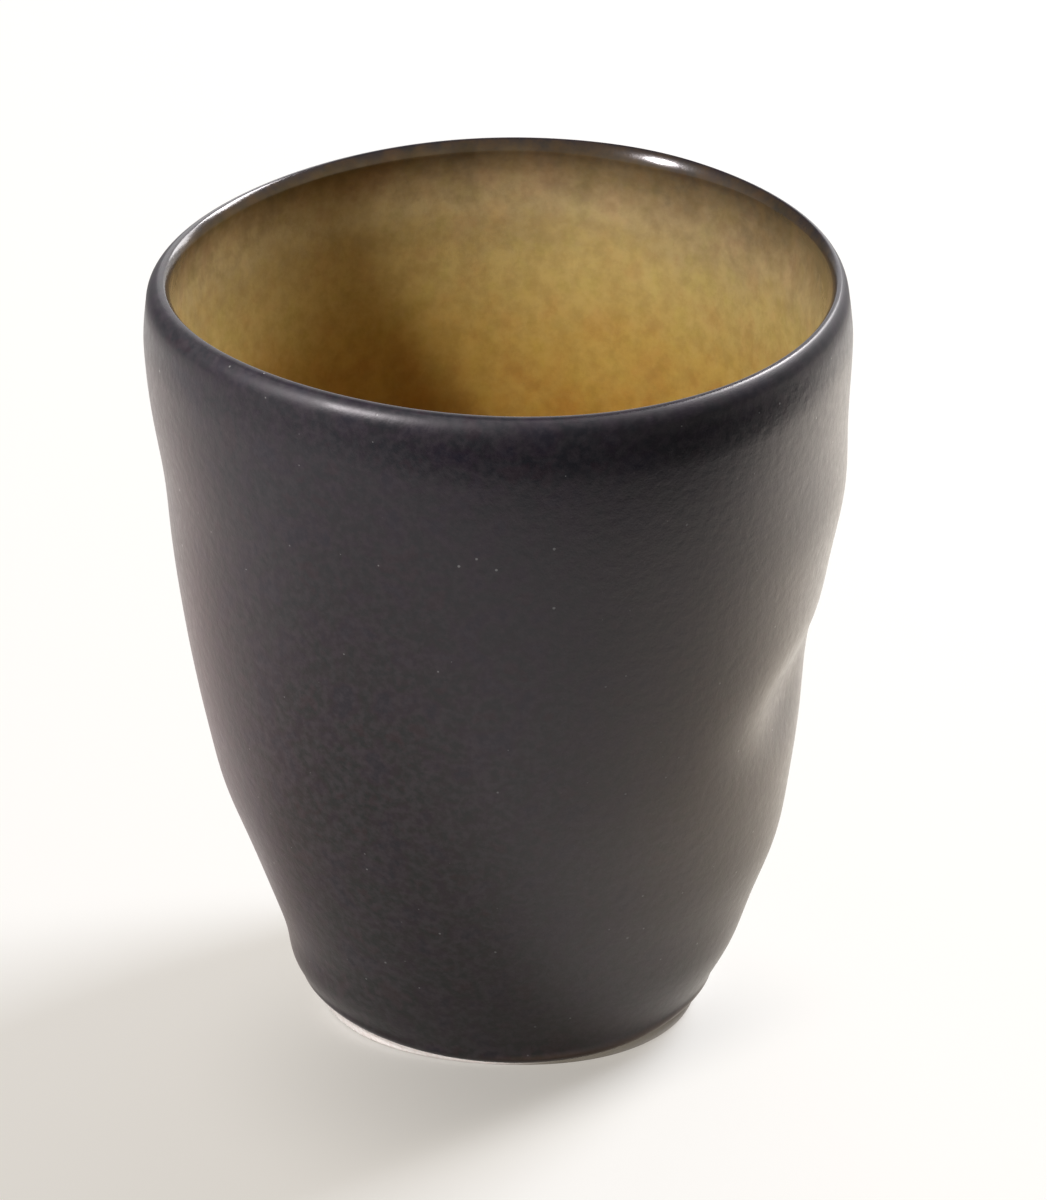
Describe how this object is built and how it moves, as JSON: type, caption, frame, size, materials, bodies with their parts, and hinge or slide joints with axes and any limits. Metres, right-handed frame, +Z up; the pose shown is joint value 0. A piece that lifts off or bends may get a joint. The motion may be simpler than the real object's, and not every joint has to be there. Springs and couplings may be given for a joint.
{
  "type": "drinking cup",
  "caption": "Handleless hand-shaped stoneware drinking cup: dark satin glaze outside and over the lip, amber glaze inside, bare clay foot ring.",
  "frame": {"origin": "centre of the cup's outline seen from above, at the table", "axes": "+Z up, -Y towards the front of the cup as pictured, +X to the picture's right, where the pressed groove is"},
  "size_m": [0.0848, 0.0858, 0.0955],
  "materials": {
    "bare_clay": "matte, fine sandy texture, pale and slightly pink",
    "dark_glaze": "satin charcoal glaze with fine pale specks, glossier and browner over the lip",
    "amber_glaze": "glossy amber glaze, mottled and finely crazed, tan near the lip and deeper amber in the floor"
  },
  "bodies": {
    "root": {"clay_body": "bare_clay", "outer_glaze": "dark_glaze", "inner_glaze": "amber_glaze"}
  },
  "joints": []
}
